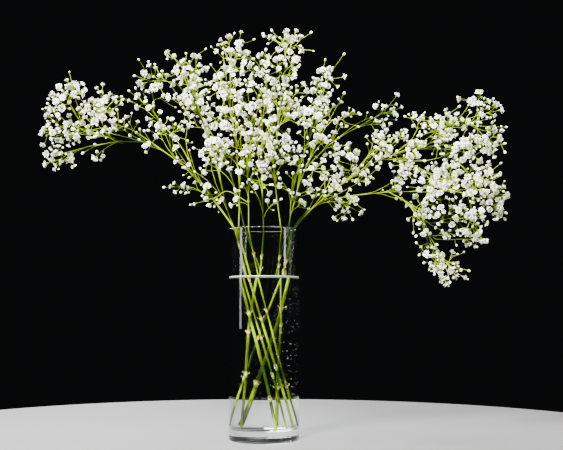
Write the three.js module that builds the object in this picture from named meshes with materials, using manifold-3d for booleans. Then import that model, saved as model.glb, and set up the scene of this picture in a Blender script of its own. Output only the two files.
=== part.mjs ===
// A bunch of cut gypsophila in a clear glass cylinder vase with water.
// Units are millimetres and +Z is up. The origin is the middle of the vase's underside.
// Each stem is one green solid with its side branches. Each spray of florets is one solid with its twigs.
import * as THREE from "three";
import { mergeVertices } from "three/addons/utils/BufferGeometryUtils.js";
import Module from "manifold-3d";

const wasm = await Module();
wasm.setup();

const GAP = 0.3; // left between pieces that touch
const TURN = 2 * Math.PI;
const WELD = 1e-4; // points nearer than this are one point
const TINY = 1e-9;

// The seeded draw: each number follows from the last, and each spray starts from a seed of its own.
const DRAW = { factor: 48271, modulus: 2147483647, seed_step: 7919 };

// The vase: a 3 by 9 inch florist's cylinder with a thick floor.
const VASE = {
  radius: 38.1,
  height: 228.6,
  wall: 2.6,
  floor: 12,
  inner_corner: 8,
  outer_corner: 1.5,
  sides: 32,
  corner_steps: 2,
  rim_steps: 3,
};
const BORE = VASE.radius - VASE.wall;
const WATER_LEVEL = 176;

// The stems stand in the vase as a loose spiral: each foot is turned back from its place at the rim.
const FOOT = { radius: 29, height: 13.35, twist: (50 / 360) * TURN };
const RIM = { radius: 32.2, height: 227 };
const STEM = { sides: 5, foot: 1.8, rim: 1.6, tip: 0.95, steps: 7 };
const JOINTS = {
  heights: [66, 122, 192],
  scatter: 17,
  first_step: 3,
  swell: 1.4,
  half_length: 2.6,
  bend: 0.8,
};
const ARM = { sides: 4, root: 1.25, tip: 0.9, steps: 5 };
const BRANCH = { sides: 3, root: 1.0, tip: 0.75, steps: 3 };
const HOLE = { clear: 0.45, sides: 5 };

// A branch leaves the green part where the way to its spray is short and runs forward.
const REACH = {
  above: RIM.height + 14,
  beside: 2 * VASE.radius,
  turn_cost: 1.7,
  least_forward: 0.2,
  least_length: 26,
  lead: 0.35,
  clear: 0.6,
};

// The florets of a spray, and the twigs that carry them.
const TWIG = { sides: 3, first: 0.65, fork: 0.58, apex: 0.74 };
const FLORET = {
  radius: 5.8,
  petals: 4,
  notch: 0.6,
  calyx: 0.8,
  calyx_drop: 0.5,
  tip_lift: 0.02,
  notch_lift: 0.34,
  crown_lift: 0.66,
};
const SPACING = 2 * FLORET.radius + 0.3;
const SPRAY = {
  base_shares: [0.95, 0.8, 0.65, 0.5, 0.35],
  base_margin: 1.4,
  fork_share: 0.45,
  draws: 800,
  forward: 5,
  least_twig: 2.4,
  least_pedicel: 4.6,
  back_turn: -0.15,
  head_clear: 0.8,
  twig_clear: 0.4,
  look_round: 4,
};

// The stems. azimuth is the place at the rim, in degrees from +X. route is where the stem goes above it.
// An arm is a fork: it leaves the stem, or an arm before it, at the point that is nearest to its first point.
// A spray is its centre x, y, z, its half sizes and its number of florets.
const STEMS = [
  {
    azimuth: 165,
    route: [
      [-49, 10, 252], [-83, 15, 293], [-104, 17, 311],
      [-129, 18, 326], [-153, 14, 328], [-182, 8, 324],
    ],
    arms: [[[-83, 15, 293], [-92, 22, 320], [-110, 20, 343]]],
    sprays: [
      [-183, -16, 361, 24, 19, 19, 9],
      [-208, 22, 345, 22, 18, 17, 7],
      [-230, -12, 338, 18, 18, 20, 7],
      [-228, 6, 308, 22, 20, 22, 9],
      [-217, 0, 374, 26, 22, 19, 10],
      [-133, 12, 374, 24, 20, 18, 6],
      [-102, -20, 334, 25, 21, 16, 7],
    ],
  },
  {
    azimuth: 190,
    route: [[-40, -10, 248], [-48, -17, 285], [-56, -22, 313], [-70, -26, 350], [-86, -28, 374]],
    arms: [],
    sprays: [
      [-78, -55, 359, 22, 21, 20, 9],
      [-81, 8, 406, 22, 20, 18, 9],
      [-115, -25, 392, 24, 21, 20, 10],
    ],
  },
  {
    azimuth: 212,
    route: [[-26, -30, 269], [-28, -37, 296], [-31, -44, 326], [-35, -44, 352], [-36, -40, 384]],
    arms: [],
    sprays: [
      [-52, -54, 308, 23, 20, 20, 9],
      [-50, -8, 352, 20, 19, 19, 8],
      [-37, -72, 373, 20, 20, 19, 9],
      [-37, -25, 417, 23, 20, 20, 10],
    ],
  },
  {
    azimuth: 240,
    route: [[-16, -38, 258], [-16, -52, 290], [-12, -63, 316]],
    arms: [[[-16, -36, 252], [-30, -42, 262]]],
    sprays: [
      [-2, -68, 273, 26, 20, 16, 6],
      [-56, -46, 257, 18, 17, 15, 5],
      [-8, -90, 313, 20, 20, 19, 9],
      [-11, -98, 349, 21, 21, 19, 10],
    ],
  },
  {
    azimuth: 92,
    route: [[-3, 40, 277], [-4, 45, 310], [-3, 48, 350], [2, 46, 385]],
    arms: [[[-5, 22, 190], [-21, 25, 227], [-31, 41, 268], [-44, 52, 310]]],
    sprays: [
      [0, 76, 350, 25, 21, 22, 8],
      [-72, 48, 355, 21, 21, 24, 8],
      [-10, 46, 421, 24, 21, 26, 10],
    ],
  },
  {
    azimuth: 305,
    route: [[13, -34, 268], [11, -38, 290], [14, -40, 322], [18, -36, 356], [22, -26, 392]],
    arms: [
      [[17, -20, 204], [27, -17, 227], [29, -24, 252], [33, -32, 276], [44, -36, 310], [54, -30, 345]],
    ],
    sprays: [
      [23, -64, 302, 21, 20, 19, 9],
      [58, -48, 292, 20, 20, 19, 8],
      [52, -60, 344, 20, 20, 20, 8],
      [20, -58, 392, 21, 21, 19, 9],
      [66, 2, 392, 27, 23, 23, 11],
      [22, -5, 435, 26, 22, 21, 10],
    ],
  },
  {
    azimuth: 352,
    route: [
      [51, -8, 249], [70, -12, 265], [104, -16, 290],
      [132, -18, 305], [161, -20, 313], [190, -22, 314],
    ],
    arms: [
      [
        [24, 0, 192], [31, 8, 227], [53, 16, 254], [79, 21, 264],
        [113, 26, 270], [147, 26, 273], [180, 20, 272],
      ],
      [[132, -18, 305], [163, -6, 326], [192, 6, 340], [218, 10, 346]],
      [[147, 26, 273], [159, 24, 261], [170, 15, 244], [179, 6, 227]],
    ],
    sprays: [
      [93, -20, 252, 24, 18, 15, 5],
      [96, 8, 300, 21, 20, 19, 7],
      [137, 20, 327, 21, 20, 20, 8],
      [152, -46, 293, 20, 20, 20, 9],
      [172, 8, 346, 22, 20, 17, 7],
      [187, -44, 334, 20, 20, 20, 9],
      [177, -56, 276, 20, 20, 19, 8],
      [222, -40, 312, 21, 21, 20, 11],
      [221, 38, 354, 21, 20, 20, 8],
      [244, -4, 366, 21, 20, 25, 9],
      [255, 16, 324, 19, 20, 25, 8],
      [221, 26, 290, 23, 21, 21, 10],
      [200, -8, 290, 20, 20, 20, 8],
      [178, 54, 256, 23, 20, 21, 7],
      [232, -30, 270, 21, 21, 21, 11],
      [258, 12, 262, 18, 18, 25, 8],
      [202, -34, 240, 21, 20, 20, 9],
      [234, 14, 234, 23, 21, 23, 9],
      [194, -8, 192, 20, 20, 28, 10],
    ],
  },
  {
    azimuth: 40,
    route: [[35, 36, 268], [46, 46, 300], [58, 52, 328]],
    arms: [[[46, 46, 300], [78, 54, 334], [106, 58, 352]]],
    sprays: [
      [74, 24, 326, 22, 20, 20, 9],
      [80, 44, 366, 23, 20, 20, 8],
      [137, 60, 369, 28, 20, 18, 5],
    ],
  },
];

const point = (list) => new THREE.Vector3(...list);
const toward = (from, to) => to.clone().sub(from).normalize();
const clamp = (x) => Math.min(1, Math.max(0, x));

// A seeded draw between 0 and 1, the same on every run.
function drawFrom(seed) {
  let state = seed;
  return () => {
    state = (state * DRAW.factor) % DRAW.modulus;
    return state / DRAW.modulus;
  };
}

// The least distance between two straight stretches.
function gapBetween(a, b, c, d) {
  const u = b.clone().sub(a);
  const v = d.clone().sub(c);
  const w = a.clone().sub(c);
  const uu = u.dot(u);
  const vv = v.dot(v);
  const uv = u.dot(v);
  const uw = u.dot(w);
  const vw = v.dot(w);
  const spread = uu * vv - uv * uv;
  let s = spread > TINY ? clamp((uv * vw - uw * vv) / spread) : 0;
  let t = vv > TINY ? (uv * s + vw) / vv : 0;
  if (t < 0 || t > 1) {
    t = clamp(t);
    s = uu > TINY ? clamp((uv * t - uw) / uu) : 0;
  }
  return a.clone().addScaledVector(u, s).distanceTo(c.clone().addScaledVector(v, t));
}

// ---- Green parts ----

// Every straight stretch of the green parts: its ends, its radius and the stem that it belongs to.
const stretches = [];

function remember(points, radii, stem) {
  for (let i = 1; i < points.length; i++) {
    const radius = Math.max(radii[i - 1], radii[i]);
    stretches.push({ from: points[i - 1], to: points[i], radius, stem });
  }
}

function isClear(points, radius, stem) {
  return stretches.every(
    (s) =>
      s.stem === stem ||
      points.every(
        (p, i) => i === 0 || gapBetween(points[i - 1], p, s.from, s.to) > radius + s.radius + REACH.clear,
      ),
  );
}

// The stem below the rim: straight lengths that meet at swollen joints, each a little off the line.
function standingPoints(azimuth) {
  const at = (azimuth / 360) * TURN;
  const foot_at = at + TURN / 2 - FOOT.twist;
  const around = ({ radius, height }, turn) => {
    return new THREE.Vector3(radius * Math.cos(turn), radius * Math.sin(turn), height);
  };
  const foot = around(FOOT, foot_at);
  const rim = around(RIM, at);
  const side = new THREE.Vector3(0, 0, 1).cross(toward(foot, rim)).normalize();
  const joints = JOINTS.heights.map((height, i) => {
    const lift = ((azimuth * (i + JOINTS.first_step)) % JOINTS.scatter) - JOINTS.scatter / 2;
    const share = (height + lift - foot.z) / (rim.z - foot.z);
    const off = i % 2 ? JOINTS.bend : -JOINTS.bend;
    return foot.clone().lerp(rim, share).addScaledVector(side, off);
  });
  return [foot, ...joints, rim];
}

// Evenly spaced points on a smooth curve through the given points.
function smooth(points, steps) {
  return new THREE.CatmullRomCurve3(points, false, "centripetal").getPoints(steps);
}

function taper(from, to, count) {
  return Array.from({ length: count }, (_, i) => from + ((to - from) * i) / (count - 1));
}

// Where a fork leaves: the place on the earlier points that is nearest to its first point.
function nearestOn(points, target) {
  return points.reduce((best, p) => (p.distanceTo(target) < best.distanceTo(target) ? p : best));
}

// The green skeleton of one stem: its tubes, and the places that a side branch may leave from.
function skeleton(plan, stem) {
  const standing = standingPoints(plan.azimuth);
  const above = smooth([standing.at(-1), ...plan.route.map(point)], STEM.steps);
  const tubes = [];
  const sources = [];
  const addTube = (points, radii, sides, swollen) => {
    tubes.push({ points, radii, sides, swollen });
    remember(points, radii, stem);
  };
  const offer = (points) => {
    points.forEach((at, i) => {
      const heading = i === 0 ? toward(points[0], points[1]) : toward(points[i - 1], at);
      const beside = Math.hypot(at.x, at.y) > REACH.beside;
      if (at.z > REACH.above || beside) sources.push({ at, heading });
    });
  };
  const lower = taper(STEM.foot, STEM.rim, standing.length);
  const upper = taper(STEM.rim, STEM.tip, above.length);
  addTube([...standing, ...above.slice(1)], [...lower, ...upper.slice(1)], STEM.sides, standing.length - 1);
  offer(above);
  const green = [...standing, ...above];
  plan.arms.forEach((arm) => {
    const start = nearestOn(green, point(arm[0]));
    const points = smooth([start, ...arm.slice(1).map(point)], ARM.steps);
    addTube(points, taper(ARM.root, ARM.tip, points.length), ARM.sides, 0);
    offer(points);
    green.push(...points);
  });
  return { tubes, sources };
}

// The sprays, each with its centre and size, in the order that their branches grow.
const sprays = STEMS.flatMap((plan, stem) =>
  plan.sprays.map((list, i) => ({
    name: `spray_${stem + 1}_${String(i + 1).padStart(2, "0")}`,
    stem,
    centre: point(list.slice(0, 3)),
    half: point(list.slice(3, 6)),
    count: list[6],
    mean: (list[3] + list[4] + list[5]) / 3,
  })),
);

// Whether a point lies inside a spray's own share of the crown, at least margin from every neighbour's share.
function inOwnShare(p, spray, margin) {
  const own = p.distanceToSquared(spray.centre) - spray.mean * spray.mean;
  return sprays.every((other) => {
    if (other === spray) return true;
    const theirs = p.distanceToSquared(other.centre) - other.mean * other.mean;
    return theirs - own >= 2 * margin * spray.centre.distanceTo(other.centre);
  });
}

// The side branch that carries a spray: it leaves the best free source and bends towards the spray.
function branchTo(spray, sources) {
  const { centre } = spray;
  const ranked = sources
    .map((source) => {
      const length = source.at.distanceTo(centre);
      const forward = toward(source.at, centre).dot(source.heading);
      return { source, length, forward, cost: length * (REACH.turn_cost - forward) };
    })
    .filter((way) => way.forward > REACH.least_forward && way.length > REACH.least_length)
    .sort((a, b) => a.cost - b.cost);
  for (const { source, length } of ranked) {
    const lead = source.at.clone().addScaledVector(source.heading, length * REACH.lead);
    const back = toward(centre, lead);
    for (const share of SPRAY.base_shares) {
      const base = centre.clone().addScaledVector(back, share * spray.mean);
      if (!inOwnShare(base, spray, SPRAY.base_margin)) continue;
      const points = new THREE.QuadraticBezierCurve3(source.at, lead, base).getPoints(BRANCH.steps);
      if (isClear(points, BRANCH.root, spray.stem)) return points;
    }
  }
  throw new Error(`${spray.name} has no clear way`);
}

function growBranches(green, stem) {
  sprays
    .filter((spray) => spray.stem === stem)
    .forEach((spray) => {
      const points = branchTo(spray, green.sources);
      const radii = taper(BRANCH.root, BRANCH.tip, points.length);
      green.tubes.push({ points, radii, sides: BRANCH.sides, swollen: 0 });
      remember(points, radii, stem);
      points.slice(1, -1).forEach((at, i) => {
        green.sources.push({ at, heading: toward(points[i], at) });
      });
      spray.base = points.at(-1);
      spray.branch = points;
    });
}

// ---- Florets and twigs ----

// The twigs of a group of florets. A fork carries a middle floret and a group on either side of it.
function forksOf(from, sites) {
  if (sites.length === 1) return { at: sites[0], children: [] };
  const middle = sites.reduce((sum, s) => sum.add(s), new THREE.Vector3()).multiplyScalar(1 / sites.length);
  const at = from.clone().addScaledVector(middle.clone().sub(from), SPRAY.fork_share);
  const axis = toward(from, middle);
  const across = sites.map((s) => {
    const out = s.clone().sub(at);
    return out.addScaledVector(axis, -out.dot(axis));
  });
  const widest = across.reduce((best, out) => (out.lengthSq() > best.lengthSq() ? out : best));
  const side = widest.clone().normalize();
  const offsets = across.map((out) => out.dot(side));
  const left = sites.filter((s, i) => offsets[i] < 0);
  const right = sites.filter((s, i) => offsets[i] >= 0);
  if (!left.length || !right.length) return null;
  const inner = offsets.reduce((best, x, i) => (Math.abs(x) < Math.abs(offsets[best]) ? i : best), 0);
  const home = offsets[inner] < 0 ? left : right;
  const children = [];
  if (home.length > 1) {
    home.splice(home.indexOf(sites[inner]), 1);
    children.push({ at: sites[inner], children: [] });
  }
  for (const group of [left, right]) {
    const child = forksOf(at, group);
    if (!child) return null;
    children.push(child);
  }
  return { at, children };
}

// Every twig below a fork, with whether it ends in a floret.
function twigsOf(from, fork, list = []) {
  list.push({ from, to: fork.at, floret: fork.children.length === 0 });
  fork.children.forEach((child) => twigsOf(fork.at, child, list));
  return list;
}

function turnsForward(from, fork) {
  const heading = toward(from, fork.at);
  return fork.children.every((child) => {
    const forward = toward(fork.at, child.at).dot(heading) > SPRAY.back_turn;
    return forward && turnsForward(fork.at, child);
  });
}

// Whether a spray's twigs and florets are long enough and clear of each other and of the green parts.
function growsFreely(spray, tree, near) {
  const twigs = twigsOf(spray.start, tree);
  const head = FLORET.radius * SPRAY.head_clear + TWIG.first;
  const isLong = ({ from, to, floret }) => {
    return from.distanceTo(to) >= (floret ? SPRAY.least_pedicel : SPRAY.least_twig);
  };
  const missesGreen = ({ from, to }) => {
    return near.every((s) => gapBetween(from, to, s.from, s.to) > s.radius + TWIG.first + SPRAY.twig_clear);
  };
  const missesTwigs = (twig) => {
    return twigs.every((t) => t === twig || gapBetween(twig.to, twig.to, t.from, t.to) > head);
  };
  return (
    turnsForward(spray.start, tree) &&
    twigs.every((twig) => isLong(twig) && missesGreen(twig) && (!twig.floret || missesTwigs(twig)))
  );
}

// The florets' places in a spray: drawn one by one, and kept where the spray still grows freely.
function placeFlorets(spray, seed) {
  const draw = drawFrom(seed);
  const heading = toward(spray.base, spray.centre);
  spray.start = spray.base.clone().addScaledVector(toward(spray.branch.at(-2), spray.base), GAP);
  const reach = Math.max(spray.half.x, spray.half.y, spray.half.z) + FLORET.radius;
  const touches = (s, p, r) => gapBetween(p, p, s.from, s.to) < r + s.radius + SPRAY.twig_clear;
  const about = stretches.filter((s) => touches(s, spray.centre, reach + SPRAY.look_round));
  const near = about.filter((s) => s.to !== spray.base);
  let sites = [];
  for (let i = 0; i < SPRAY.draws && sites.length < spray.count; i++) {
    const x = 2 * draw() - 1;
    const y = 2 * draw() - 1;
    const z = 2 * draw() - 1;
    if (x * x + y * y + z * z > 1) continue;
    const site = new THREE.Vector3(x, y, z).multiply(spray.half).add(spray.centre);
    const ahead = site.clone().sub(spray.start).dot(heading);
    if (ahead < SPRAY.forward) continue;
    if (sites.some((s) => s.distanceTo(site) < SPACING)) continue;
    if (!inOwnShare(site, spray, FLORET.radius + GAP)) continue;
    if (about.some((s) => touches(s, site, FLORET.radius))) continue;
    const tree = forksOf(spray.start, [...sites, site]);
    if (!tree || !growsFreely(spray, tree, near)) continue;
    sites = [...sites, site];
    spray.tree = tree;
  }
  if (!sites.length) throw new Error(`${spray.name} has no room for its florets`);
}

// ---- Solids ----

// A closed surface that is built ring by ring. Rings run anticlockwise about the way that they face.
class Surface {
  points = [];
  faces = [];

  add(p) {
    this.points.push(p);
    return this.points.length - 1;
  }

  ring(centre, axis, towards, radius, sides = TWIG.sides) {
    const out = towards.clone().addScaledVector(axis, -towards.dot(axis)).normalize();
    const side = axis.clone().cross(out);
    return Array.from({ length: sides }, (_, i) => {
      const turn = (i / sides) * TURN;
      const at = centre.clone().addScaledVector(out, radius * Math.cos(turn));
      return this.add(at.addScaledVector(side, radius * Math.sin(turn)));
    });
  }

  // The band of faces between two rings, which may have different numbers of points.
  stitch(lower, upper) {
    let i = 0;
    let j = 0;
    while (i < lower.length || j < upper.length) {
      const a = lower[i % lower.length];
      const c = upper[j % upper.length];
      if ((i + 1) * upper.length <= (j + 1) * lower.length) {
        i++;
        this.faces.push([a, lower[i % lower.length], c]);
      } else {
        j++;
        this.faces.push([a, upper[j % upper.length], c]);
      }
    }
  }

  geometry() {
    const geometry = new THREE.BufferGeometry().setFromPoints(this.points);
    geometry.setIndex(this.faces.flat());
    return geometry;
  }
}

// A tube along points, with a radius at each, closed by a face at either end.
function tubeSurface({ points, radii, sides }) {
  const surface = new Surface();
  let towards = new THREE.Vector3(0, 0, 1).cross(toward(points[0], points.at(-1)));
  if (towards.lengthSq() < WELD) towards = new THREE.Vector3(1, 0, 0);
  const rings = points.map((p, i) => {
    const axis = toward(points[Math.max(0, i - 1)], points[Math.min(points.length - 1, i + 1)]);
    const ring = surface.ring(p, axis, towards, radii[i], sides);
    towards = surface.points[ring[0]].clone().sub(p);
    return ring;
  });
  rings.slice(1).forEach((ring, i) => surface.stitch(rings[i], ring));
  const first = rings[0];
  const last = rings.at(-1);
  for (let i = 2; i < sides; i++) {
    surface.faces.push([first[0], first[i], first[i - 1]]);
    surface.faces.push([last[0], last[i - 1], last[i]]);
  }
  return surface;
}

// The same points with a swelling set in at each of the joints from 1 to count.
function withSwellings({ points, radii, sides, swollen }) {
  const full = { points: [], radii: [], sides };
  const put = (p, radius) => {
    full.points.push(p);
    full.radii.push(radius);
  };
  points.forEach((p, i) => {
    const joint = i > 0 && i < swollen;
    if (joint) put(p.clone().addScaledVector(toward(p, points[i - 1]), JOINTS.half_length), radii[i]);
    put(p, joint ? radii[i] * JOINTS.swell : radii[i]);
    if (joint) put(p.clone().addScaledVector(toward(p, points[i + 1]), JOINTS.half_length), radii[i]);
  });
  return full;
}

function solidOf(geometry) {
  const bare = geometry.clone();
  bare.deleteAttribute("normal");
  bare.deleteAttribute("uv");
  const merged = mergeVertices(bare, WELD);
  const vertProperties = new Float32Array(merged.attributes.position.array);
  const triVerts = new Uint32Array(merged.index.array);
  return new wasm.Manifold(new wasm.Mesh({ numProp: 3, vertProperties, triVerts }));
}

function geometryOf(solid) {
  const { vertProperties, triVerts } = solid.getMesh();
  const geometry = new THREE.BufferGeometry();
  geometry.setAttribute("position", new THREE.BufferAttribute(vertProperties, 3));
  geometry.setIndex(new THREE.BufferAttribute(triVerts, 1));
  return geometry;
}

const group = new THREE.Group();

function addPiece(name, geometry, material) {
  geometry.computeVertexNormals();
  const mesh = new THREE.Mesh(geometry, material);
  mesh.name = name;
  group.add(mesh);
}

// The glass: a profile turned about Z, with a rounded rim and a thick flat floor.
function vaseGeometry() {
  const rounded = (x, z, radius, from, to, steps) =>
    Array.from({ length: steps + 1 }, (_, i) => {
      const turn = (from + ((to - from) * i) / steps) * TURN;
      return new THREE.Vector2(x + radius * Math.cos(turn), z + radius * Math.sin(turn));
    });
  const lip = VASE.wall / 2;
  const corner = VASE.inner_corner;
  const profile = [
    new THREE.Vector2(0, 0),
    new THREE.Vector2(VASE.radius - VASE.outer_corner, 0),
    new THREE.Vector2(VASE.radius, VASE.outer_corner),
    ...rounded(VASE.radius - lip, VASE.height - lip, lip, 0, 0.5, VASE.rim_steps),
    ...rounded(BORE - corner, VASE.floor + corner, corner, 0, -0.25, VASE.corner_steps),
    new THREE.Vector2(0, VASE.floor),
  ];
  return new THREE.LatheGeometry(profile, VASE.sides).rotateX(TURN / 4);
}

// The water: the inside of the glass up to its level, with a plain hole for each stem.
function waterGeometry(greens) {
  const radius = BORE - GAP;
  const corner = VASE.inner_corner;
  const bottom = VASE.floor + GAP;
  const profile = [
    new THREE.Vector2(0, bottom),
    new THREE.Vector2(radius - corner, bottom),
    new THREE.Vector2(radius, bottom + corner),
    new THREE.Vector2(radius, WATER_LEVEL),
    new THREE.Vector2(0, WATER_LEVEL),
  ];
  let water = solidOf(new THREE.LatheGeometry(profile, VASE.sides).rotateX(TURN / 4));
  for (const { tubes } of greens) {
    const { points, swollen } = tubes[0];
    const inside = points.slice(0, swollen);
    const down = inside[0].clone().addScaledVector(toward(inside[1], inside[0]), VASE.floor);
    const way = [down, ...inside.slice(1)];
    const wide = STEM.foot * JOINTS.swell + HOLE.clear;
    const radii = way.map(() => wide / Math.cos(TURN / 2 / HOLE.sides));
    water = water.subtract(solidOf(tubeSurface({ points: way, radii, sides: HOLE.sides }).geometry()));
  }
  return geometryOf(water);
}

function stemGeometry(green) {
  const solids = green.tubes.map((tube) => solidOf(tubeSurface(withSwellings(tube)).geometry()));
  return geometryOf(wasm.Manifold.union(solids));
}

// The ways to share out the three faces of a fork among its twigs.
const ORDERS = [[0, 1, 2], [0, 2, 1], [1, 0, 2], [1, 2, 0], [2, 0, 1], [2, 1, 0]];

// One spray: twigs of three sides. A fork is a small pyramid, and each twig leaves one of its faces.
function sprayGeometry(spray) {
  const surface = new Surface();
  const at = (i) => surface.points[i];
  const middleOf = (ring) => {
    return ring.reduce((sum, i) => sum.add(at(i)), new THREE.Vector3()).divideScalar(ring.length);
  };
  const facing = ([a, b, c]) => {
    return at(b).clone().sub(at(a)).cross(at(c).clone().sub(at(a))).normalize();
  };

  function floret(stalk, site, axis) {
    const towards = at(stalk[0]).clone().sub(middleOf(stalk));
    const lift = (share) => site.clone().addScaledVector(axis, share * FLORET.radius);
    const neck = surface.ring(lift(-FLORET.calyx_drop), axis, towards, FLORET.calyx);
    surface.stitch(stalk, neck);
    const tips = surface.ring(lift(FLORET.tip_lift), axis, towards, FLORET.radius, 2 * FLORET.petals);
    tips.forEach((index, i) => {
      if (i % 2 === 0) return;
      const out = at(index).clone().sub(lift(FLORET.tip_lift)).multiplyScalar(FLORET.notch);
      at(index).copy(lift(FLORET.notch_lift)).add(out);
    });
    surface.stitch(neck, tips);
    const crown = surface.add(lift(FLORET.crown_lift));
    tips.forEach((index, i) => {
      surface.faces.push([index, tips[(i + 1) % tips.length], crown]);
    });
  }

  // A pyramid on the end of a twig, turned so that its faces look at the twigs that leave it.
  function grow(ring, from, fork) {
    const axis = toward(from, fork.at);
    const towards = at(ring[0]).clone().sub(middleOf(ring));
    if (!fork.children.length) {
      floret(ring, fork.at, axis);
      return;
    }
    const headings = fork.children.map((child) => toward(fork.at, child.at));
    const end = surface.ring(fork.at, axis, towards, TWIG.fork);
    const apex = surface.add(fork.at.clone().addScaledVector(axis, TWIG.apex));
    const sides = end.map((index, i) => [index, end[(i + 1) % end.length], apex]);
    const normals = sides.map(facing);
    const score = (order) => headings.reduce((sum, h, i) => sum + h.dot(normals[order[i]]), 0);
    const best = ORDERS.reduce((a, b) => (score(b) > score(a) ? b : a));
    surface.stitch(ring, end);
    fork.children.forEach((child, i) => grow(sides[best[i]], fork.at, child));
    best.slice(headings.length).forEach((i) => surface.faces.push(sides[i]));
  }

  const axis = toward(spray.branch.at(-2), spray.base);
  const root = surface.ring(spray.start, axis, new THREE.Vector3(axis.z, axis.x, axis.y), TWIG.first);
  surface.faces.push([root[0], root[2], root[1]]);
  grow(root, spray.start, spray.tree);
  return surface.geometry();
}

const matt = (color, roughness) => new THREE.MeshStandardMaterial({ color, roughness, metalness: 0 });
const clear = (color, roughness) => {
  return new THREE.MeshStandardMaterial({ color, roughness, metalness: 0, transparent: true, opacity: 0.35 });
};

const greens = STEMS.map(skeleton);
greens.forEach(growBranches);
sprays.forEach((spray, i) => placeFlorets(spray, DRAW.seed_step * (i + 1)));

addPiece("vase", vaseGeometry(), clear(0xdfe8e6, 0.04));
addPiece("water", waterGeometry(greens), clear(0xd6e6df, 0.02));
greens.forEach((green, i) => addPiece(`stem_${i + 1}`, stemGeometry(green), matt(0x7f9a2c, 0.55)));
sprays.forEach((spray) => addPiece(spray.name, sprayGeometry(spray), matt(0xf4f4ea, 0.75)));

export default group;
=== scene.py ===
import math
import random

import bmesh
import bpy
import numpy as np
from mathutils import Matrix, Quaternion, Vector


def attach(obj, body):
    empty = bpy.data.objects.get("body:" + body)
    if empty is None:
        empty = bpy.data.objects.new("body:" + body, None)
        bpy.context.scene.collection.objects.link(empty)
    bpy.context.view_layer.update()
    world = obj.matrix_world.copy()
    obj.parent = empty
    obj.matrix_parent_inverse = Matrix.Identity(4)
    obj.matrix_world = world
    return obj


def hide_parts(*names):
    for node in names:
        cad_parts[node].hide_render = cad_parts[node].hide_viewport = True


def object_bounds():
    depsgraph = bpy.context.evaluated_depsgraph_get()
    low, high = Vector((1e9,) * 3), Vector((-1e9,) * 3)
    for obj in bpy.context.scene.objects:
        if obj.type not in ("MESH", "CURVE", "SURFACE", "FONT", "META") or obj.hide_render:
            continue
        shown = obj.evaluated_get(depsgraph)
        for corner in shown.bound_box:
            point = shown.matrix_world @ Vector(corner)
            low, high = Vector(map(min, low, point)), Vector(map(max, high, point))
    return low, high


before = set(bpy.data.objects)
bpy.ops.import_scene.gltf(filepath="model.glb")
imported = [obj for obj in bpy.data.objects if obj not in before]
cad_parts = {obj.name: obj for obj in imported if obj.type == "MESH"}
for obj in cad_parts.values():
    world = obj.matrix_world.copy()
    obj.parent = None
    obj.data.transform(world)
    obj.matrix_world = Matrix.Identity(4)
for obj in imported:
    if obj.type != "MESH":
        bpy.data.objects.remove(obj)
cad_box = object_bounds()
bpy.ops.object.select_all(action="DESELECT")

MM = 0.001
TURN = 2 * math.pi
UP = Vector((0, 0, 1))
PARALLEL, TINY = 1e-6, 1e-9

# ---- The plan of the bunch ----

GAP = 0.3  # between a spray and the branch that it grows from
VASE = {"radius": 38.1, "height": 228.6, "wall": 2.6, "floor": 12.0, "sides": 128}
BORE = VASE["radius"] - VASE["wall"]
WATER_LEVEL = 176.0
RISE = 0.4  # how far the water climbs the glass
BUBBLES = {"count": 150, "seed": 5, "side": (-40, 26), "radius": (0.12, 0.3), "off": 0.15, "heights": (45, 168)}
FOOT = {"radius": 29.0, "height": 13.35, "twist": (50 / 360) * TURN}
RIM = {"radius": 32.2, "height": 227.0}
STEM = {"foot": 1.7, "slim": 0.9, "tip": 0.38, "steps": 7, "finer": 8}
STEM["stout"] = (1.0, 0.66, 0.82, 0.62, 0.86, 0.7, 1.05, 0.6)  # how stout each stem is
JOINTS = {"heights": (66, 122, 192), "scatter": 17, "first_step": 3, "bend": 0.8}
# how far up or down each stem its joints are shifted from there
JOINTS["shifts"] = [
    (-14, 9, -6), (4, -16, 12), (15, 2, -18), (-6, 18, 5), (10, -9, 14), (-17, -3, -9), (1, 15, -13), (8, -12, 2),
]
ARM = {"root": 1.25, "slim": 0.62, "tip": 0.34, "steps": 5, "finer": 8}
BRANCH = {"root": 1.0, "slim": (0.4, 0.28), "steps": 3, "finer": 5}
# where a branch may leave from, and which way it takes
REACH = {
    "above": RIM["height"] + 14, "beside": 2 * VASE["radius"], "least_length": 26, "least_forward": 0.2,
    "turn_cost": 1.7, "lead": 0.35, "clear": 0.6,
}
SPRAY = {"base_shares": (0.95, 0.8, 0.65, 0.5, 0.35), "base_margin": 1.4, "fork_share": 0.45}

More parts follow.
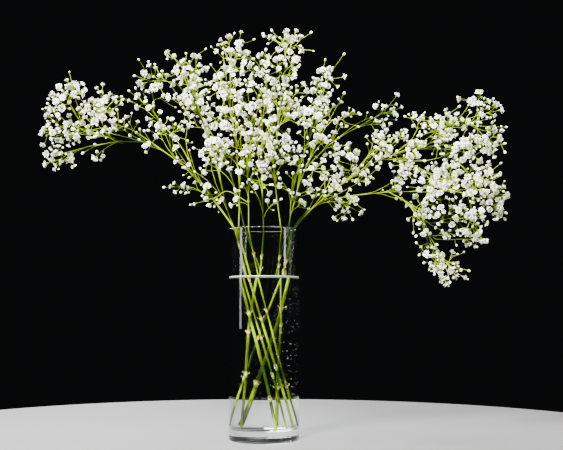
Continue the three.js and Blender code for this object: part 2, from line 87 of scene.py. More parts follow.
# A stem: its place at the rim in degrees, its route above it, its arms, and its sprays: the centre of each, and its
# three half sizes added up.
STEMS = [
    (165, [(-49, 10, 252), (-83, 15, 293), (-104, 17, 311), (-129, 18, 326), (-153, 14, 328), (-182, 8, 324)],
     [[(-83, 15, 293), (-92, 22, 320), (-110, 20, 343)]],
     [(-183, -16, 361, 62), (-208, 22, 345, 57), (-230, -12, 338, 56), (-228, 6, 308, 64), (-217, 0, 374, 67),
      (-133, 12, 374, 62), (-102, -20, 334, 62)]),
    (190, [(-40, -10, 248), (-48, -17, 285), (-56, -22, 313), (-70, -26, 350), (-86, -28, 374)], [],
     [(-78, -55, 359, 63), (-81, 8, 406, 60), (-115, -25, 392, 65)]),
    (212, [(-26, -30, 269), (-28, -37, 296), (-31, -44, 326), (-35, -44, 352), (-36, -40, 384)], [],
     [(-52, -54, 308, 63), (-50, -8, 352, 58), (-37, -72, 373, 59), (-37, -25, 417, 63)]),
    (240, [(-16, -38, 258), (-16, -52, 290), (-12, -63, 316)],
     [[(-16, -36, 252), (-30, -42, 262)]],
     [(-2, -68, 273, 62), (-56, -46, 257, 50), (-8, -90, 313, 59), (-11, -98, 349, 61)]),
    (92, [(-3, 40, 277), (-4, 45, 310), (-3, 48, 350), (2, 46, 385)],
     [[(-5, 22, 190), (-21, 25, 227), (-31, 41, 268), (-44, 52, 310)]],
     [(0, 76, 350, 68), (-72, 48, 355, 66), (-10, 46, 421, 71)]),
    (305, [(13, -34, 268), (11, -38, 290), (14, -40, 322), (18, -36, 356), (22, -26, 392)],
     [[(17, -20, 204), (27, -17, 227), (29, -24, 252), (33, -32, 276), (44, -36, 310), (54, -30, 345)]],
     [(23, -64, 302, 60), (58, -48, 292, 59), (52, -60, 344, 60), (20, -58, 392, 61), (66, 2, 392, 73),
      (22, -5, 435, 69)]),
    (352, [(51, -8, 249), (70, -12, 265), (104, -16, 290), (132, -18, 305), (161, -20, 313), (190, -22, 314)],
     [[(24, 0, 192), (31, 8, 227), (53, 16, 254), (79, 21, 264), (113, 26, 270), (147, 26, 273), (180, 20, 272)],
      [(132, -18, 305), (163, -6, 326), (192, 6, 340), (218, 10, 346)],
      [(147, 26, 273), (159, 24, 261), (170, 15, 244), (179, 6, 227)]],
     [(93, -20, 252, 57), (96, 8, 300, 60), (137, 20, 327, 61), (152, -46, 293, 60), (172, 8, 346, 59),
      (187, -44, 334, 60), (177, -56, 276, 59), (222, -40, 312, 62), (221, 38, 354, 61), (244, -4, 366, 66),
      (255, 16, 324, 64), (221, 26, 290, 65), (200, -8, 290, 60), (178, 54, 256, 64), (232, -30, 270, 63),
      (258, 12, 262, 61), (202, -34, 240, 61), (234, 14, 234, 67), (194, -8, 192, 68)]),
    (40, [(35, 36, 268), (46, 46, 300), (58, 52, 328)],
     [[(46, 46, 300), (78, 54, 334), (106, 58, 352)]],
     [(74, 24, 326, 62), (80, 44, 366, 63), (137, 60, 369, 66)]),
]


def toward(a, b):
    return (b - a).normalized()


def clamp(x):
    return min(1.0, max(0.0, x))


def gap_between(a, b, c, d):
    """The least distance between two straight stretches."""
    u, v, w = b - a, d - c, a - c
    uu, vv, uv, uw, vw = u.dot(u), v.dot(v), u.dot(v), u.dot(w), v.dot(w)
    spread = uu * vv - uv * uv
    s = clamp((uv * vw - uw * vv) / spread) if spread > PARALLEL else 0.0
    t = (uv * s + vw) / vv if vv > TINY else 0.0
    if t < 0 or t > 1:
        t = clamp(t)
        s = clamp((uv * t - uw) / uu) if uu > TINY else 0.0
    return ((a + u * s) - (c + v * t)).length


def smooth(points, steps):
    """Evenly spaced points on a smooth curve through the given points."""
    ends = [points[0] * 2 - points[1], *points, points[-1] * 2 - points[-2]]
    last = len(points) - 1
    found = []
    for step in range(steps + 1):
        at = last * step / steps
        i = min(int(at), last - 1)
        t = at - i
        p0, p1, p2, p3 = ends[i : i + 4]
        d0, d1, d2 = (math.sqrt((b - a).length) for a, b in ((p0, p1), (p1, p2), (p2, p3)))
        t1 = ((p1 - p0) / d0 - (p2 - p0) / (d0 + d1) + (p2 - p1) / d1) * d1
        t2 = ((p2 - p1) / d1 - (p3 - p1) / (d1 + d2) + (p3 - p2) / d2) * d1
        found.append(p1 + t1 * t + (3 * (p2 - p1) - 2 * t1 - t2) * t**2 + (2 * (p1 - p2) + t1 + t2) * t**3)
    return found


def bent(start, lead, end, steps):
    """Evenly spaced points on a curve from start to end that sets out towards lead."""
    return [start * (1 - t) ** 2 + lead * (2 * (1 - t) * t) + end * t**2 for t in taper(0, 1, steps + 1)]


def taper(start, end, count):
    return [start + (end - start) * i / (count - 1) for i in range(count)]


class Limb:
    """A green part along a path. joints are the places on it where it is swollen, with a pair of bracts."""

    def __init__(self, path, radii, joints=()):
        self.path, self.radii, self.joints = path, radii, list(joints)


class Stem:
    """A stem with its limbs and sprays, and the places that a side branch may leave from."""

    def __init__(self, number, azimuth, route, arms, sprays):
        self.number, self.name = number, f"stem_{number + 1}"
        self.sprays = [Spray(self, i, plan) for i, plan in enumerate(sprays)]
        self.limbs, self.sources, self.stretches = [], [], []
        standing = self.standing_points(azimuth)
        rim = standing[-1]
        rise = toward(standing[0], rim)
        way = [rim, *map(Vector, route)]
        above = smooth(way, STEM["steps"])
        self.remember(standing + above[1:], STEM["foot"])
        self.offer(above)
        fine = smooth(way, STEM["steps"] * STEM["finer"])
        foot, slim = (STEM[end] * STEM["stout"][number] for end in ("foot", "slim"))
        lower = taper(foot, slim, len(standing))
        upper = taper(slim, STEM["tip"], len(fine))
        joints = [p + rise * shift for p, shift in zip(standing[1:-1], JOINTS["shifts"][number])]
        self.limbs.append(Limb(standing + fine[1:], lower + upper[1:], joints))
        green = standing + above
        for arm in arms:
            start = min(green, key=lambda p: (p - Vector(arm[0])).length)
            way = [start, *map(Vector, arm[1:])]
            points = smooth(way, ARM["steps"])
            self.remember(points, ARM["root"])
            self.offer(points)
            green = green + points
            fine = smooth(way, ARM["steps"] * ARM["finer"])
            self.limbs.append(Limb(fine, taper(ARM["slim"], ARM["tip"], len(fine))))
            self.limbs[0].joints.append(start)

    @staticmethod
    def standing_points(azimuth):
        at = (azimuth / 360) * TURN
        foot_at = at + TURN / 2 - FOOT["twist"]
        foot, rim = (
            Vector((end["radius"] * math.cos(turn), end["radius"] * math.sin(turn), end["height"]))
            for end, turn in ((FOOT, foot_at), (RIM, at))
        )
        side = UP.cross(toward(foot, rim)).normalized()
        joints = []
        for i, height in enumerate(JOINTS["heights"]):
            lift = azimuth * (i + JOINTS["first_step"]) % JOINTS["scatter"] - JOINTS["scatter"] / 2
            share = (height + lift - foot.z) / (rim.z - foot.z)
            off = JOINTS["bend"] if i % 2 else -JOINTS["bend"]
            joints.append(foot.lerp(rim, share) + side * off)
        return [foot, *joints, rim]

    def remember(self, points, radius):
        self.stretches += [(a, b, radius) for a, b in zip(points, points[1:])]

    def offer(self, points):
        for i, at in enumerate(points):
            heading = toward(points[0], points[1]) if i == 0 else toward(points[i - 1], at)
            if at.z > REACH["above"] or math.hypot(at.x, at.y) > REACH["beside"]:
                self.sources.append((at, heading))


class Spray:
    """A spray of its stem: its share of the crown, and the node that it replaces."""

    def __init__(self, stem, number, plan):
        self.stem, self.number = stem, number
        self.node = f"spray_{stem.number + 1}_{number + 1:02d}"
        self.centre, self.mean = Vector(plan[:3]), plan[3] / 3


stems = [Stem(i, *plan) for i, plan in enumerate(STEMS)]
sprays = [spray for stem in stems for spray in stem.sprays]


def in_own_share(p, spray, margin):
    """Whether a point lies inside a spray's own share of the crown."""

    def beyond(other):
        return (p - other.centre).length_squared - other.mean**2

    return all(beyond(s) - beyond(spray) >= 2 * margin * (spray.centre - s.centre).length for s in sprays)


def is_clear(points, radius, own):
    """Whether a limb along these points stays clear of every other stem."""
    others = [stretch for stem in stems if stem is not own for stretch in stem.stretches]
    own_way = list(zip(points, points[1:]))
    return all(gap_between(p, q, a, b) > radius + wide + REACH["clear"] for a, b, wide in others for p, q in own_way)


def branch_to(spray):
    """The branch that carries a spray: it leaves the best free source and bends towards the spray."""
    ways = []
    for at, heading in spray.stem.sources:
        length = (at - spray.centre).length
        forward = toward(at, spray.centre).dot(heading)
        if forward > REACH["least_forward"] and length > REACH["least_length"]:
            ways.append((length * (REACH["turn_cost"] - forward), length, at, heading))
    for _, length, at, heading in sorted(ways, key=lambda way: way[0]):
        lead = at + heading * (length * REACH["lead"])
        back = toward(spray.centre, lead)
        for share in SPRAY["base_shares"]:
            base = spray.centre + back * (share * spray.mean)
            if in_own_share(base, spray, SPRAY["base_margin"]):
                points = bent(at, lead, base, BRANCH["steps"])
                if is_clear(points, BRANCH["root"], spray.stem):
                    return points, lead
    raise ValueError(f"{spray.node} has no clear way")


for spray in sprays:
    points, lead = branch_to(spray)
    spray.stem.remember(points, BRANCH["root"])
    spray.stem.sources += [(b, toward(a, b)) for a, b in zip(points, points[1:-1])]
    spray.base = points[-1]
    spray.heading = toward(points[-2], points[-1])
    fine = bent(points[0], lead, points[-1], BRANCH["steps"] * BRANCH["finer"])
    spray.limb = Limb(fine, taper(*BRANCH["slim"], len(fine)))
    spray.stem.limbs.append(spray.limb)


# ---- The florets' places, as the solids have them ----

SOLID_FLORET = {"radius": 5.8, "tip_lift": 0.02, "notch": 0.6, "notch_lift": 0.34, "crown_lift": 0.66}
SAME = 0.02  # how closely a crown's distances have to fit


def floret_sites(node):
    """The middle and axis of each floret of a spray's solid. Only a crown has four tips and four notches around it,
    at their own distances."""
    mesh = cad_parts[node].data
    points = np.round(np.array([v.co for v in mesh.vertices]) / MM, 3)
    points, index = np.unique(points, axis=0, return_inverse=True)
    faces = index.reshape(-1)[np.array([tuple(face.vertices) for face in mesh.polygons])]
    ends = np.concatenate([faces[:, [0, 1]], faces[:, [1, 2]], faces[:, [2, 0]]])
    ends = np.unique(np.concatenate([ends, ends[:, ::-1]]), axis=0)
    far = np.linalg.norm(points[ends[:, 0]] - points[ends[:, 1]], axis=1)
    radius, crown = SOLID_FLORET["radius"], SOLID_FLORET["crown_lift"]
    to_tip = radius * math.hypot(1, crown - SOLID_FLORET["tip_lift"])
    to_notch = radius * math.hypot(SOLID_FLORET["notch"], crown - SOLID_FLORET["notch_lift"])
    tips, notches = (ends[abs(far - distance) < SAME] for distance in (to_tip, to_notch))
    has_four = [np.bincount(rim[:, 0], minlength=len(points)) == 4 for rim in (tips, notches)]
    sites = []
    for top in np.flatnonzero(has_four[0] & has_four[1]):
        level = points[tips[tips[:, 0] == top, 1]].mean(axis=0)
        axis = Vector(points[top] - level).normalized()
        sites.append((Vector(level) - axis * (SOLID_FLORET["tip_lift"] * radius), axis))
    return sites


def forks_of(start, sites):
    """The twigs of a group of florets: a place, and the forks above it. Each carries a middle floret and two groups."""
    if len(sites) == 1:
        return sites[0], []
    middle = sum(sites, Vector()) / len(sites)
    at = start.lerp(middle, SPRAY["fork_share"])
    axis = toward(start, middle)
    across = [(s - at) - axis * (s - at).dot(axis) for s in sites]
    side = max(across, key=lambda out: out.length_squared).normalized()
    offsets = [out.dot(side) for out in across]
    groups = [[s for s, offset in zip(sites, offsets) if (offset >= 0) == far] for far in (False, True)]
    inner = min(range(len(sites)), key=lambda i: abs(offsets[i]))
    home = groups[offsets[inner] >= 0]
    children = []
    if len(home) > 1:
        home.remove(sites[inner])
        children.append((sites[inner], []))
    return at, children + [forks_of(at, group) for group in groups]


# ---- Making pieces ----

MAP = "OFBake"  # the map that a piece's patterns follow


class Shell:
    """The faces of one piece, gathered part by part. Each corner has a spot on the piece's map."""

    def __init__(self):
        self.points, self.faces, self.spots, self.skins = [], [], [], []

    def add(self, points, faces, spots, skins=None):
        first = len(self.points)
        self.points += [(x * MM, y * MM, z * MM) for x, y, z in points]
        self.faces += [tuple(first + i for i in face) for face in faces]
        self.spots += spots
        self.skins += skins or [0] * len(faces)

    def piece(self, name, finishes, slot, nodes, crease=50):
        mesh = bpy.data.meshes.new(name)
        mesh.from_pydata(self.points, [], self.faces)
        mesh.uv_layers.new(name=MAP).data.foreach_set("uv", [x for spot in self.spots for x in spot])
        mesh.polygons.foreach_set("material_index", self.skins)
        for finish in finishes:
            mesh.materials.append(finish)
        made = bpy.data.objects.new(name, mesh)
        bpy.context.scene.collection.objects.link(made)
        settle(made, nodes, crease)


def settle(made, nodes, crease=50, flat_walls=False):
    """Smooths a finished piece, hangs it on the root body and hides the parts of the model that it stands in for."""
    bpy.ops.object.select_all(action="DESELECT")
    made.select_set(True)
    bpy.context.view_layer.objects.active = made
    bpy.ops.object.shade_smooth_by_angle(angle=math.radians(crease))
    if flat_walls:  # the bevels round off, and the walls beside them stay straight
        bpy.ops.object.modifier_add(type="WEIGHTED_NORMAL")
        made.modifiers[-1].keep_sharp = True
        bpy.ops.object.modifier_apply(modifier=made.modifiers[-1].name)
    made.select_set(False)
    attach(made, "root")
    if nodes:
        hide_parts(*nodes)


def rings_along(path, radii, sides):
    """The points of a round tube, ring by ring, without twist."""
    towards = toward(path[0], path[1]).orthogonal()
    turns = [TURN * k / sides for k in range(sides)]
    points = []
    for i, p in enumerate(path):
        axis = toward(path[max(0, i - 1)], path[min(len(path) - 1, i + 1)])
        towards = (towards - axis * towards.dot(axis)).normalized()
        side = axis.cross(towards)
        points += [p + (towards * math.cos(turn) + side * math.sin(turn)) * radii[i] for turn in turns]
    return points


def add_tube(shell, path, radii, sides, bands=None):
    """A closed tube. A band is the skin between two rings, and how far up the map it starts and ends."""
    heights, lines = taper(0, 1, len(path)), taper(0, 1, sides + 1)
    bands = bands or [(0, a, b) for a, b in zip(heights, heights[1:])]
    faces, spots, skins = [], [], []
    for j, (skin, low, high) in enumerate(bands):
        for i in range(sides):
            k = (i + 1) % sides
            faces.append((j * sides + i, j * sides + k, (j + 1) * sides + k, (j + 1) * sides + i))
            spots += [(lines[i], low), (lines[i + 1], low), (lines[i + 1], high), (lines[i], high)]
            skins.append(skin)
    for ring, (skin, low, high), order in ((0, bands[0], -1), (len(path) - 1, bands[-1], 1)):
        faces.append(tuple(range(ring * sides, (ring + 1) * sides))[::order])
        spots += [(line, high if ring else low) for line in lines[:-1]][::order]
        skins.append(skin)
    shell.add(rings_along(path, radii, sides), faces, spots, skins)


# a bract: where it is widest, how far it leans out there, how deep its keel is and how far its face stands up
BRACT = {"widest": 0.4, "lean": 0.7, "keel": 0.3, "face": 0.12}
BRACT_SPOTS = ((0.5, 0.0), (0.0, 0.45), (0.5, 0.45), (1.0, 0.45), (0.5, 0.45), (0.5, 1.0))


def add_bract(shell, root, along, away, length, width, skin, flare=0.3):
    """A small pointed leaf that stands on a stem: a thin closed blade, folded along its middle."""
    side = along.cross(away).normalized()
    face = side.cross(along).normalized()
    middle = root + along * (BRACT["widest"] * length) + away * (BRACT["lean"] * flare * length)
    tip = root + along * length + away * (flare * length)
    left, right = middle - side * (width / 2), middle + side * (width / 2)
    points = [root, left, middle - face * (BRACT["keel"] * width), right, middle + face * (BRACT["face"] * width), tip]
    waist = ((1, 2), (2, 3), (3, 4), (4, 1))
    faces = [(0, a, b) for a, b in waist] + [(5, b, a) for a, b in waist]
    shell.add(points, faces, [BRACT_SPOTS[i] for face in faces for i in face], [skin] * len(faces))


# ---- Finishes ----

TONES = 8  # the petals come in this many tones
GLASS_IOR, WATER_IOR, UNBENT = 1.5, 1.333, 1.001


class Shade:
    """A value in a finish, so that its patterns can be written as sums."""

    def __init__(self, finish, socket):
        self.finish, self.socket = finish, socket

    def math(self, operation, *others):
        return self.finish.node("ShaderNodeMath", {"operation": operation}, dict(enumerate((self, *others))))

    def __add__(self, other):
        return self.math("ADD", other)

    def __sub__(self, other):
        return self.math("SUBTRACT", other)

    def __mul__(self, other):
        return self.math("MULTIPLY", other)

    def __rsub__(self, other):
        return self.finish.node("ShaderNodeMath", {"operation": "SUBTRACT"}, {0: other, 1: self})

    __radd__, __rmul__ = __add__, __mul__


class Finish:
    """A material in the making, and the one way to add a node to it."""

    def __init__(self, name, **fixed):
        self.material = bpy.data.materials.new(name)
        self.material.use_nodes = True
        self.tree = self.material.node_tree
        self.shader = self.tree.nodes["Principled BSDF"]
        for socket, value in fixed.items():
            self.shader.inputs[socket.replace("_", " ")].default_value = value

    def node(self, kind, settings=None, inputs=None, out=0):
        made = self.tree.nodes.new(kind)
        for name, value in (settings or {}).items():
            if name == "stops":
                ramp = made.color_ramp.elements
                for i, (place, colour) in enumerate(value):
                    stop = ramp[i] if i < 2 else ramp.new(place)
                    stop.position, stop.color = place, (*colour, 1)
            else:
                setattr(made, name, value)
        for name, value in (inputs or {}).items():
            if isinstance(value, Shade):
                self.tree.links.new(value.socket, made.inputs[name])
            else:
                made.inputs[name].default_value = value
        return Shade(self, made.outputs[out])

    def map(self):
        """How far across and up the piece's map a spot is."""
        spot = self.node("ShaderNodeUVMap", {"uv_map": MAP})
        return [self.node("ShaderNodeSeparateXYZ", inputs={0: spot}, out=i) for i in (0, 1)]

    def place(self):
        return self.node("ShaderNodeTexCoord", out="Object")

    def spot(self, x, y):
        return self.node("ShaderNodeCombineXYZ", inputs={0: x, 1: y})

    def noise(self, at, scale, detail=2.0):
        return self.node("ShaderNodeTexNoise", inputs={"Vector": at, "Scale": scale, "Detail": detail})

    def ramp(self, value, *stops):
        return self.node("ShaderNodeValToRGB", {"stops": stops}, {"Fac": value})

    def bump(self, height, strength, distance):
        return self.node("ShaderNodeBump", inputs={"Height": height, "Strength": strength, "Distance": distance})

    def wear(self, **links):
        for socket, shade in links.items():
            self.tree.links.new(shade.socket, self.shader.inputs[socket.replace("_", " ")])
        return self.material


def petal_finish():
    soft = {"Subsurface_Weight": 0.08, "Subsurface_Scale": 0.001}
    finish = Finish("white petal", Roughness=0.7, Specular_IOR_Level=0.2, **soft)
    u, v = finish.map()
    veins = finish.noise(finish.spot(u * 160, v * 4), 1.0)
    tone = finish.noise(finish.spot(u * TONES, 0.0), 1.7)
    up = v + (veins - 0.5) * 0.25 + (tone - 0.5) * 0.5
    # the petals darken and turn green towards the heart: partly the floret's own greenish heart, partly painted shade
    # in the crevices between the petals
    stops = ((0.0, (0.16, 0.23, 0.03)), (0.35, (0.34, 0.39, 0.16)), (0.7, (0.68, 0.7, 0.57)), (0.95, (0.92, 0.92, 0.9)))
    return finish.wear(Base_Color=finish.ramp(up, *stops), Normal=finish.bump(veins, 0.25, 0.0004))


def green_finish(name, ribs, stretch, gloss, *stops):
    """A green skin with fine ribs along it and uneven colour: partly its own tones, partly painted light and shade in
    broad patches.
    """
    finish = Finish(name, Specular_IOR_Level=gloss)
    u, v = finish.map()
    mottle = finish.noise(finish.spot(u * 5, v * stretch), 1.0, 3.0)
    rib = (u * (TURN * ribs)).math("SINE")
    streak = finish.noise(finish.spot(u * ribs * 2, v * stretch * 0.15), 1.0)
    # broad patches from dark to bright green at random: partly the green's own uneven tone, partly painted light and
    # shade
    patches_and_painted_shade = finish.noise(finish.place(), 20.0, 1.0)
    colour = finish.ramp(mottle * 0.15 + streak * 0.15 + patches_and_painted_shade * 0.7, *stops)
    skin = finish.bump(rib * 0.5 + mottle, 0.35, 0.00025)
    return finish.wear(Base_Color=colour, Roughness=0.5 + mottle * 0.25, Normal=skin)


def joint_finish():
    finish = Finish("swollen joint", Specular_IOR_Level=0.3)
    u, v = finish.map()
    mottle = finish.noise(finish.spot(u * 8, v * 3), 1.0, 3.0)
    up = v + (mottle - 0.5) * 0.16
    green, pale, scar = (0.05, 0.08, 0.001), (0.36, 0.3, 0.06), (0.13, 0.065, 0.009)
    stops = ((0.28, green), (0.4, pale), (0.46, pale), (0.52, scar), (0.58, pale), (0.76, green))
    colour = finish.ramp(up, *stops)
    return finish.wear(Base_Color=colour, Roughness=0.5 + mottle * 0.2, Normal=finish.bump(mottle, 0.4, 0.0003))


def clear_finish(name, ior, colour, wave, depth):
    """Glass or water. Lamps shine through it, so that what stands inside is lit."""
    finish = Finish(name, IOR=ior, Transmission_Weight=1.0, Base_Color=colour)
    waves = finish.noise(finish.place(), wave, 1.0)
    finish.wear(Roughness=waves * 0.015, Normal=finish.bump(waves, 0.2, depth))
    through = finish.node("ShaderNodeBsdfTransparent", inputs={"Color": colour})
    path = [finish.node("ShaderNodeLightPath", out=kind) for kind in ("Is Shadow Ray", "Is Diffuse Ray")]
    solid = Shade(finish, finish.shader.outputs[0])
    mixed = finish.node("ShaderNodeMixShader", inputs={0: path[0].math("MAXIMUM", path[1]), 1: solid, 2: through})
    finish.tree.links.new(mixed.socket, finish.tree.nodes["Material Output"].inputs["Surface"])
    return finish.material


def glint_painted_finish(name):
    """The rim of the water, where it climbs the glass, and the bubbles in it: a partly white skin that lets only some
    of the light through, which is a painted highlight.
    """
    finish = Finish(name, IOR=WATER_IOR, Transmission_Weight=0.35, Base_Color=(0.9, 0.95, 0.93, 1))
    ripple = finish.noise(finish.place(), 180, 2.0)
    return finish.wear(Roughness=0.08 + ripple * 0.2, Normal=finish.bump(ripple, 0.3, 0.0003))


# the greens run from near black to bright: their own tones, and painted light and shade
STEM_TONES = ((0.42, (0.006, 0.016, 0.0001)), (0.5, (0.034, 0.046, 0.0001)), (0.59, (0.165, 0.25, 0.0001)))
STEM_SKIN = green_finish("green stem", 9, 90, 0.03, *STEM_TONES)
JOINT_SKIN = joint_finish()
BRACT_SKIN = green_finish("bract", 3, 6, 0.1, (0.38, (0.07, 0.1, 0.003)), (0.62, (0.27, 0.22, 0.02)))
TWIG_SKIN = green_finish("thin twig", 4, 12, 0.08, (0.38, (0.04, 0.072, 0.0003)), (0.62, (0.22, 0.31, 0.0006)))
CALYX_SKIN = green_finish("calyx", 5, 3, 0.1, (0.38, (0.07, 0.12, 0.001)), (0.62, (0.2, 0.27, 0.006)))
PETAL = petal_finish()
GLASS = clear_finish("clear glass", GLASS_IOR, (0.97, 0.99, 0.985, 1), 25, 0.00006)
# where glass and water touch, light bends by their ratio at the glass and passes straight through the water's skin
WET_GLASS = clear_finish("wet glass", GLASS_IOR / WATER_IOR, (0.99, 1.0, 0.995, 1), 25, 0.00006)
WATER = clear_finish("clear water", WATER_IOR, (0.975, 0.99, 0.98, 1), 60, 0.0001)
WATER_SKIN = clear_finish("water against glass", UNBENT, (0.985, 0.995, 0.99, 1), 60, 0.0001)
# the water's edge near the glass is partly painted white: a painted highlight
WATER_EDGE_PAINTED_GLINT = glint_painted_finish("water edge painted bright")
# the bubbles wear the same partly white skin: a painted glint
BUBBLE_PAINTED_GLINT = glint_painted_finish("air bubble")


# ---- The vase and its water ----

CORNER, HEEL, LIP = (7.5, 8), (2.2, 5), (1.15, 5)  # how far each edge is rounded, and in how many steps
HOLLOW = ((9, 0), (3, 1.2))  # under the foot: steps inwards, and how far up each goes
CLIMB = ((0.5, 0), (0.9, -0.3), (1.6, -0.1))  # the same where the water's surface comes down from the glass
LAP = 0.1  # how far the water laps into the glass, so that no air shows between them
PAINTED_GLINT_WIDTH, PAINTED_GLINT_DEPTH = 1, 0.2  # the edge of the water that is painted bright, a painted highlight: its width, and how far under the level it reaches
LEVEL, UPRIGHT, NEAR, AROUND = 0.9, 0.1, 0.05, 0.3  # how closely what is picked lies as it should


def pick(kind, test):
    """In edit mode, selects the faces or edges whose middle, in millimetres, passes a test."""
    mesh = bmesh.from_edit_mesh(bpy.context.object.data)
    bpy.ops.mesh.select_all(action="DESELECT")
    bpy.ops.mesh.select_mode(type=kind)
    for part in mesh.faces if kind == "FACE" else mesh.edges:
        if kind == "FACE":
            part.select_set(test(part.calc_center_median() / MM, part.normal))
        else:
            a, b = (v.co / MM for v in part.verts)
            part.select_set(test((a + b) / 2, (b - a).normalized()))
    bmesh.update_edit_mesh(bpy.context.object.data)


def round_edge(radius, height, width, segments, around=AROUND):
    """Bevels the round edges near this radius at this height."""
    pick("EDGE", lambda p, d: abs(p.z - height) < NEAR and abs(p.xy.length - radius) < around and abs(d.z) < UPRIGHT)
    bpy.ops.mesh.bevel(offset=width * MM, offset_type="OFFSET", segments=segments, affect="EDGES", clamp_overlap=True)


def step_in(steps):
    """Insets the picked face step by step, and moves it up by what each step says."""
    for inwards, up in steps:
        bpy.ops.mesh.inset(thickness=inwards * MM)
        bpy.ops.transform.translate(value=(0, 0, up * MM))


def cut_wall(radius, height):
    """Cuts the upright faces within a radius at a height."""
    pick("FACE", lambda p, n: abs(n.z) < UPRIGHT and p.xy.length < radius)
    bpy.ops.mesh.bisect(plane_co=(0, 0, height * MM), plane_no=(0, 0, 1))


def add_cylinder(name, radius, low, high):
    depth, middle = (high - low) * MM, (low + high) / 2 * MM
    sizes = {"vertices": VASE["sides"], "radius": radius * MM, "depth": depth}
    bpy.ops.mesh.primitive_cylinder_add(**sizes, location=(0, 0, middle))
    made = bpy.context.object
    made.name = made.data.name = name
    bpy.ops.object.transform_apply(location=True, rotation=True, scale=True)
    bpy.ops.object.mode_set(mode="EDIT")
    return made


def dress(made, finishes, which):
    """Ends the shaping, and gives each face one of the finishes by where its middle is."""
    bpy.ops.object.mode_set(mode="OBJECT")
    for finish in finishes:
        made.data.materials.append(finish)
    for face in made.data.polygons:
        face.material_index = which(face.center / MM)


def make_vase():
    floor, top, wet = VASE["floor"], VASE["height"], WATER_LEVEL + RISE
    made = add_cylinder("vase_glass", VASE["radius"], 0, top)
    pick("FACE", lambda p, n: n.z > LEVEL)
    bpy.ops.mesh.inset(thickness=VASE["wall"] * MM)
    bpy.ops.mesh.extrude_region_move(TRANSFORM_OT_translate={"value": (0, 0, (floor - top) * MM)})
    pick("FACE", lambda p, n: n.z < -LEVEL)
    step_in(HOLLOW)
    round_edge(BORE, floor, *CORNER)
    round_edge(VASE["radius"], 0, *HEEL)
    round_edge(BORE, top, *LIP, around=VASE["wall"] + AROUND)
    cut_wall(BORE + AROUND, wet)
    dress(made, [GLASS, WET_GLASS], lambda p: int(floor - LAP < p.z < wet and p.xy.length < BORE + LAP))
    settle(made, ["vase"], flat_walls=True)


def make_water():
    """The water fills the bore, climbs the glass a little and has a skin of its own where it meets the glass."""
    radius, low, skin = BORE + LAP, VASE["floor"] - LAP, WATER_LEVEL - PAINTED_GLINT_DEPTH
    made = add_cylinder("still_water", radius, low, WATER_LEVEL + RISE)
    pick("FACE", lambda p, n: n.z > LEVEL)
    step_in(CLIMB)
    round_edge(radius, low, *CORNER)
    cut_wall(VASE["radius"], skin)
    finishes = [WATER, WATER_EDGE_PAINTED_GLINT, WATER_SKIN]
    # faces near the glass at the top of the water get the painted highlight
    dress(made, finishes, lambda p: 2 if p.z < skin else int(p.xy.length > radius - PAINTED_GLINT_WIDTH))
    settle(made, ["water"], flat_walls=True)


def shape_of(made):
    """The points and faces of a primitive, which isn't kept."""
    points = [v.co.copy() for v in made.data.vertices]
    faces = [tuple(face.vertices) for face in made.data.polygons]
    bpy.data.objects.remove(made)
    return points, faces


def make_bubbles():
    """Fine air bubbles that cling to the inside of the glass, most of them on one side."""
    bpy.ops.mesh.primitive_ico_sphere_add(subdivisions=1, radius=1)
    points, faces = shape_of(bpy.context.object)
    shell, draw = Shell(), random.Random(BUBBLES["seed"])
    for _ in range(BUBBLES["count"]):
        turn = math.radians(draw.gauss(*BUBBLES["side"]))
        size = draw.uniform(*BUBBLES["radius"])
        out = BORE - size - BUBBLES["off"]
        at = Vector((out * math.cos(turn), out * math.sin(turn), draw.uniform(*BUBBLES["heights"])))
        shell.add([at + p * size for p in points], faces, [(0.0, 0.0)] * (3 * len(faces)))
    shell.piece("air_bubbles", [BUBBLE_PAINTED_GLINT], "water", [])


make_vase()
make_water()
make_bubbles()


# ---- Florets: modelled once, then set on every twig ----

HEART = 1e-4  # a point nearer to the axis than this is in the heart
RUFFLE = 0.15
# petals, tips to a petal, radius, tip lift, notch, notch lift, heart, drop, turn, spread
OPEN_WHORLS = (
    (5, 2, 1, 0.02, 0.6, 0.14, 0.28, 0.3, 0, 0.2),
    (4, 2, 0.8, 0.46, 0.52, 0.22, 0.3, 0, 0.5, 0.22),
    (3, 1, 0.5, 0.9, 0.5, 0.5, 0.45, 0, 0.3, 0),
)
HALF_OPEN_WHORLS = (
    (5, 2, 0.85, 0.4, 0.6, 0.25, 0.35, 0.35, 0, 0.15),
    (4, 1, 0.5, 0.8, 0.5, 0.5, 0.65, 0, 0.4, 0),
)


